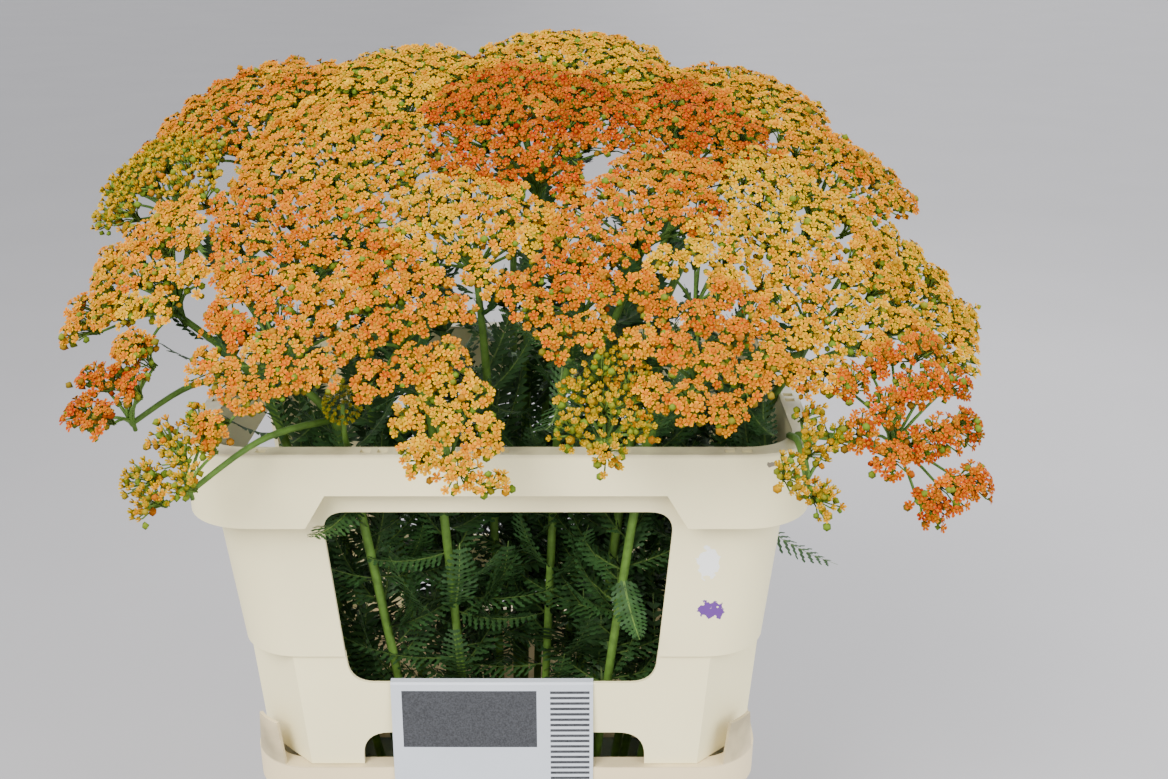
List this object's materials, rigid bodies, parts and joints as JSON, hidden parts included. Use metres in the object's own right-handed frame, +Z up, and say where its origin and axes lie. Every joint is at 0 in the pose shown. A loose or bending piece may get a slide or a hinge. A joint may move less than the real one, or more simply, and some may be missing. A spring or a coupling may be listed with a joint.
{
  "type": "potted terracotta yarrow",
  "caption": "Cut yarrow stems with flat terracotta, orange and yellow flower heads, standing in a cream water bucket with a windowed collar and a plain card.",
  "frame": {"origin": "on the floor, under the middle of the bucket", "axes": "+Z up, -Y the front with the card, X along the container's long side"},
  "size_m": [0.6317, 0.4807, 0.72],
  "materials": {
    "cream": "moulded cream plastic, satin, soiled on the rim",
    "card": "smooth white card",
    "water": "still water, slightly murky",
    "green": "ribbed green stems and soft, downy leaves",
    "terracotta": "matt petals, terracotta red with pale yellow edges",
    "orange": "matt petals, warm orange",
    "gold": "matt petals, gold",
    "yellow": "matt petals, clear yellow",
    "olive": "half open florets, yellow green"
  },
  "bodies": {
    "root": {"bucket": "cream", "collar": "cream", "lot_card": "card", "water": "water", "flowers_01a": "gold", "stem_01": "green", "flowers_02a": "orange", "stem_02": "green", "flowers_03a": "yellow", "stem_03": "green", "flowers_04a": "orange", "stem_04": "green", "flowers_05a": "yellow", "stem_05": "green", "flowers_06a": "yellow", "stem_06": "green", "flowers_07a": "gold", "stem_07": "green", "flowers_08a": "olive", "stem_08": "green", "flowers_09a": "gold", "stem_09": "green", "flowers_10a": "terracotta", "stem_10": "green", "flowers_11a": "terracotta", "stem_11": "green", "flowers_12a": "gold", "stem_12": "green", "flowers_13a": "gold", "flowers_13b": "terracotta", "stem_13": "green", "flowers_14a": "orange", "stem_14": "green", "flowers_15a": "orange", "stem_15": "green", "flowers_16a": "yellow", "stem_16": "green", "flowers_17a": "yellow", "stem_17": "green", "flowers_18a": "orange", "stem_18": "green", "flowers_19a": "yellow", "stem_19": "green", "flowers_20a": "orange", "flowers_20b": "yellow", "stem_20": "green", "flowers_21a": "orange", "flowers_21b": "olive", "stem_21": "green", "flowers_22a": "orange", "flowers_22b": "olive", "stem_22": "green", "flowers_23a": "yellow", "stem_23": "green", "flowers_24a": "yellow", "stem_24": "green", "flowers_25a": "terracotta", "flowers_25b": "olive", "stem_25": "green"}
  },
  "joints": []
}
